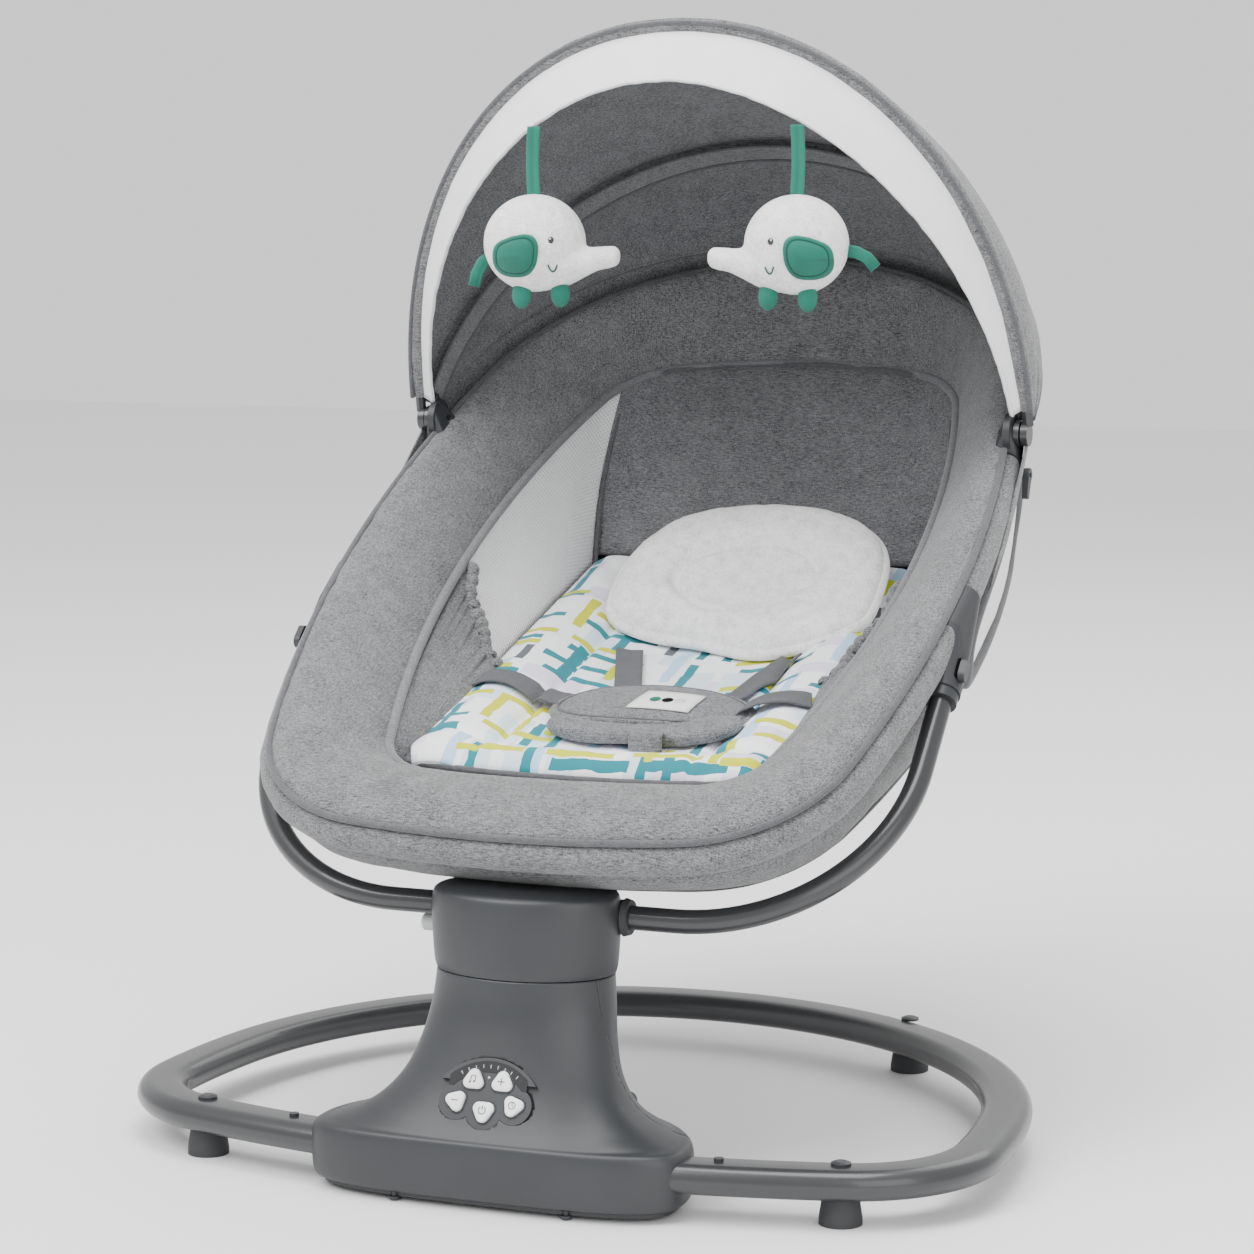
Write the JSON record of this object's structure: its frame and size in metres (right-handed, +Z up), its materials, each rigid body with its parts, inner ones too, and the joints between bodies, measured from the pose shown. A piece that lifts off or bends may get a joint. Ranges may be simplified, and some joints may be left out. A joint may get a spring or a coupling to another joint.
{
  "type": "baby swing",
  "caption": "Electric baby swing: oval tube base, pedestal with controls, bent carrying tube, padded reclining seat, harness and folding canopy with toys.",
  "frame": {"origin": "on the floor, under the middle of the object's box", "axes": "+Z up, +X to the sitter's left, -Y towards the foot end with the control panel"},
  "size_m": [0.618, 0.6811, 0.771],
  "materials": {
    "tube_grey": "satin",
    "rubber_black": "matte",
    "plastic_dark": "matte",
    "plastic_grey": "satin",
    "window_black": "gloss",
    "board_green": "matte",
    "steel": "brushed",
    "plastic_white": "matte",
    "knob_grey": "satin",
    "fabric_grey": "heather weave",
    "mesh_white": "open mesh",
    "visor_white": "smooth",
    "board_wood": "plain",
    "pad_print": "printed knit",
    "plush_white": "short plush",
    "webbing": "ribbed webbing",
    "button_red": "gloss",
    "key_white": "satin"
  },
  "bodies": {
    "root": {"base_tube": "tube_grey", "rubber_feet": "rubber_black", "tube_fasteners": "plastic_dark", "pedestal_front_shell": "plastic_grey", "pedestal_rear_shell": "plastic_grey", "pedestal_bottom_plate": "plastic_grey", "control_bezel": "plastic_dark", "display_window": "window_black", "control_board": "board_green", "loudspeaker": "plastic_dark", "drive_motor": "steel", "swing_bearing": "plastic_white", "dc_socket": "plastic_dark", "housing_screws": "steel"},
    "swing_head": {"head_front_shell": "plastic_grey", "head_rear_shell": "plastic_grey", "swing_shaft": "steel", "sector_gear": "plastic_white", "tube_clamp": "plastic_dark", "tube_grommets": "rubber_black"},
    "pinion": {"drive_pinion": "plastic_white"},
    "knob": {"lock_knob": "knob_grey"},
    "key_power": {"button_power": "key_white"},
    "key_music": {"button_music": "key_white"},
    "key_plus": {"button_plus": "key_white"},
    "key_minus": {"button_minus": "key_white"},
    "key_timer": {"button_timer": "key_white"},
    "seat": {"carrying_tube": "tube_grey", "connector_left": "plastic_grey", "connector_right": "plastic_grey", "seat_frame_tube": "tube_grey", "rim_bolster": "fabric_grey", "basket_shell": "fabric_grey", "mesh_wall_left": "mesh_white", "mesh_wall_right": "mesh_white", "pocket_left": "fabric_grey", "pocket_right": "fabric_grey", "head_wall": "fabric_grey", "seat_board": "board_wood", "seat_pad": "pad_print", "head_pillow": "plush_white", "shoulder_straps": "webbing", "waist_straps": "webbing", "crotch_flap": "fabric_grey", "harness_buckle": "plastic_dark", "harness_pad": "fabric_grey", "canopy_clip_left": "plastic_grey", "canopy_clip_right": "plastic_grey"},
    "release_left": {"release_button_left": "plastic_dark"},
    "release_right": {"release_button_right": "plastic_dark"},
    "buckle_key": {"buckle_button": "button_red"},
    "lever_left": {"clip_lever_left": "plastic_dark"},
    "lever_right": {"clip_lever_right": "plastic_dark"},
    "mid_bow": {"canopy_mid_bow": "tube_grey", "canopy_rear_panel": "fabric_grey"},
    "front_bow": {"canopy_front_bow": "tube_grey", "canopy_front_panel": "fabric_grey", "canopy_visor": "visor_white"},
    "hanging_toy_left": {"toy_left": "plush_white"},
    "hanging_toy_right": {"toy_right": "plush_white"}
  },
  "joints": [
    {"name": "swing", "type": "hinge", "parent": "root", "child": "swing_head", "pos_m": [0, -0.2535, 0.142], "axis": [0, 0, 1], "range_deg": [-12, 12]},
    {"name": "pinion_turn", "type": "hinge", "parent": "root", "child": "pinion", "pos_m": [0.0375, -0.2535, 0.112], "axis": [0, 0, 1], "range_deg": [-50, 50]},
    {"name": "knob_push", "type": "slide", "parent": "swing_head", "child": "knob", "axis": [1, 0, 0], "range_m": [0, 0.004], "stiffness_N_per_m": 600},
    {"name": "seat_recline", "type": "hinge", "parent": "swing_head", "child": "seat", "pos_m": [0, -0.2405, 0.178], "axis": [-1, 0, 0], "range_deg": [0, 12]},
    {"name": "canopy_fold", "type": "hinge", "parent": "seat", "child": "mid_bow", "pos_m": [0, 0.1115, 0.475], "axis": [-1, 0, 0], "range_deg": [0, 12], "deforming": ["canopy_rear_panel"]},
    {"name": "front_bow_fold", "type": "hinge", "parent": "mid_bow", "child": "front_bow", "pos_m": [0, 0.1115, 0.475], "axis": [-1, 0, 0], "range_deg": [0, 24], "deforming": ["canopy_front_panel"]},
    {"name": "toy_left_sway", "type": "hinge", "parent": "front_bow", "child": "hanging_toy_left", "pos_m": [0.099, 0.0015, 0.694], "axis": [1, 0, 0], "range_deg": [-20, 20]},
    {"name": "toy_right_sway", "type": "hinge", "parent": "front_bow", "child": "hanging_toy_right", "pos_m": [-0.099, 0.0015, 0.694], "axis": [1, 0, 0], "range_deg": [-20, 20]},
    {"name": "buckle_press", "type": "slide", "parent": "seat", "child": "buckle_key", "axis": [0, 0.2672, -0.9636], "range_m": [0, 0.0008], "stiffness_N_per_m": 500},
    {"name": "release_left_press", "type": "slide", "parent": "seat", "child": "release_left", "axis": [-1, 0, 0], "range_m": [0, 0.0012], "stiffness_N_per_m": 500},
    {"name": "release_right_press", "type": "slide", "parent": "seat", "child": "release_right", "axis": [1, 0, 0], "range_m": [0, 0.0012], "stiffness_N_per_m": 500},
    {"name": "lever_left_turn", "type": "hinge", "parent": "seat", "child": "lever_left", "pos_m": [0.237, 0.1055, 0.446], "axis": [1, 0, 0], "range_deg": [-30, 0]},
    {"name": "lever_right_turn", "type": "hinge", "parent": "seat", "child": "lever_right", "pos_m": [-0.237, 0.1055, 0.446], "axis": [1, 0, 0], "range_deg": [-30, 0]},
    {"name": "press_power", "type": "slide", "parent": "root", "child": "key_power", "axis": [0, 0.8988, -0.4384], "range_m": [0, 0.0012], "stiffness_N_per_m": 600},
    {"name": "press_music", "type": "slide", "parent": "root", "child": "key_music", "axis": [0, 0.8988, -0.4384], "range_m": [0, 0.0012], "stiffness_N_per_m": 600},
    {"name": "press_plus", "type": "slide", "parent": "root", "child": "key_plus", "axis": [0, 0.8988, -0.4384], "range_m": [0, 0.0012], "stiffness_N_per_m": 600},
    {"name": "press_minus", "type": "slide", "parent": "root", "child": "key_minus", "axis": [0, 0.8988, -0.4384], "range_m": [0, 0.0012], "stiffness_N_per_m": 600},
    {"name": "press_timer", "type": "slide", "parent": "root", "child": "key_timer", "axis": [0, 0.8988, -0.4384], "range_m": [0, 0.0012], "stiffness_N_per_m": 600}
  ],
  "couplings": [
    {"joint": "pinion_turn", "follows": "swing", "ratio": -4},
    {"joint": "front_bow_fold", "follows": "canopy_fold", "ratio": 2}
  ]
}
